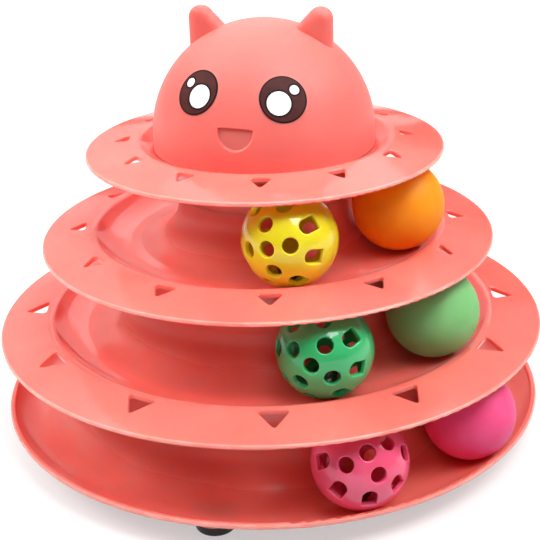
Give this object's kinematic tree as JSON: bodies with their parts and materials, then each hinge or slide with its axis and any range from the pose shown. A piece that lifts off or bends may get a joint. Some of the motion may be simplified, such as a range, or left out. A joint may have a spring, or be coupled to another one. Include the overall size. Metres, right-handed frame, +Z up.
{
  "type": "cat ball track toy",
  "caption": "Stacked round cat toy: a floor dish and tiered ball troughs with pierced brims, plain and bell balls that roll round them, and a lift-off cat-head cap.",
  "frame": {"origin": "on the floor under the stack's axis, at the height of the feet's undersides", "axes": "+Z up along the stack's axis, -Y toward the picture's viewer, +X to the viewer's right"},
  "size_m": [0.25, 0.25, 0.1929],
  "materials": {
    "coral_gloss": "moulded gloss plastic",
    "coral_satin": "satin moulded plastic",
    "black_rubber": "matt rubber",
    "eye_brown": "printed film",
    "eye_white": "printed film",
    "orange_plastic": "matt, fine grain",
    "green_plastic": "matt, fine grain",
    "pink_plastic": "matt, fine grain",
    "yellow_gloss": "moulded gloss plastic",
    "emerald_gloss": "moulded gloss plastic",
    "rose_gloss": "moulded gloss plastic",
    "bell_steel": "dark plated steel"
  },
  "bodies": {
    "base": {"base_dish": "coral_gloss", "foot_front": "black_rubber", "foot_right": "black_rubber", "foot_back": "black_rubber", "foot_left": "black_rubber"},
    "lower_tier": {"lower_tier": "coral_gloss"},
    "middle_tier": {"middle_tier": "coral_gloss"},
    "upper_tier": {"upper_tier": "coral_gloss"},
    "head": {"head_dome": "coral_satin", "left_eye": "eye_brown", "left_eye_spots": "eye_white", "right_eye": "eye_brown", "right_eye_spots": "eye_white"},
    "orange_ball": {"orange_ball": "orange_plastic"},
    "green_ball": {"green_ball": "green_plastic"},
    "pink_ball": {"pink_ball": "pink_plastic"},
    "yellow_bell": {"yellow_bell": "bell_steel", "yellow_bell_pellet": "bell_steel"},
    "yellow_shell": {"yellow_front_shell": "yellow_gloss", "yellow_back_shell": "yellow_gloss"},
    "emerald_bell": {"emerald_bell": "bell_steel", "emerald_bell_pellet": "bell_steel"},
    "emerald_shell": {"emerald_front_shell": "emerald_gloss", "emerald_back_shell": "emerald_gloss"},
    "rose_bell": {"rose_bell": "bell_steel", "rose_bell_pellet": "bell_steel"},
    "rose_shell": {"rose_front_shell": "rose_gloss", "rose_back_shell": "rose_gloss"}
  },
  "joints": [
    {"name": "lower_tier_lift", "type": "slide", "parent": "base", "child": "lower_tier", "axis": [0, 0, 1], "range_m": [0, 0.06]},
    {"name": "middle_tier_lift", "type": "slide", "parent": "lower_tier", "child": "middle_tier", "axis": [0, 0, 1], "range_m": [0, 0.06]},
    {"name": "upper_tier_lift", "type": "slide", "parent": "middle_tier", "child": "upper_tier", "axis": [0, 0, 1], "range_m": [0, 0.06]},
    {"name": "head_lift", "type": "slide", "parent": "upper_tier", "child": "head", "axis": [0, 0, 1], "range_m": [0, 0.06]},
    {"name": "orange_ball_orbit", "type": "hinge", "parent": "middle_tier", "child": "orange_ball", "pos_m": [0, 0, 0.11], "axis": [0, 0, 1], "range_deg": [-19, 263]},
    {"name": "yellow_ball_orbit", "type": "hinge", "parent": "middle_tier", "child": "yellow_bell", "pos_m": [0, 0, 0.11], "axis": [0, 0, 1], "range_deg": [-263, 19]},
    {"name": "yellow_ball_roll", "type": "hinge", "parent": "yellow_bell", "child": "yellow_shell", "pos_m": [0.00891, -0.06186, 0.11], "axis": [0.1426, -0.9898, 0], "continuous": true},
    {"name": "green_ball_orbit", "type": "hinge", "parent": "lower_tier", "child": "green_ball", "pos_m": [0, 0, 0.0696], "axis": [0, 0, 1], "range_deg": [-11, 291]},
    {"name": "emerald_ball_orbit", "type": "hinge", "parent": "lower_tier", "child": "emerald_bell", "pos_m": [0, 0, 0.0696], "axis": [0, 0, 1], "range_deg": [-291, 11]},
    {"name": "emerald_ball_roll", "type": "hinge", "parent": "emerald_bell", "child": "emerald_shell", "pos_m": [0.02149, -0.0825, 0.0696], "axis": [0.2521, -0.9677, 0], "continuous": true},
    {"name": "pink_ball_orbit", "type": "hinge", "parent": "base", "child": "pink_ball", "pos_m": [0, 0, 0.0283], "axis": [0, 0, 1], "range_deg": [-10, 303]},
    {"name": "rose_ball_orbit", "type": "hinge", "parent": "base", "child": "rose_bell", "pos_m": [0, 0, 0.0283], "axis": [0, 0, 1], "range_deg": [-303, 10]},
    {"name": "rose_ball_roll", "type": "hinge", "parent": "rose_bell", "child": "rose_shell", "pos_m": [0.03397, -0.10094, 0.0283], "axis": [0.319, -0.9478, 0], "continuous": true}
  ],
  "couplings": [
    {"joint": "yellow_ball_roll", "follows": "yellow_ball_orbit", "ratio": -3.125},
    {"joint": "emerald_ball_roll", "follows": "emerald_ball_orbit", "ratio": -4.2625},
    {"joint": "rose_ball_roll", "follows": "rose_ball_orbit", "ratio": -5.325}
  ]
}
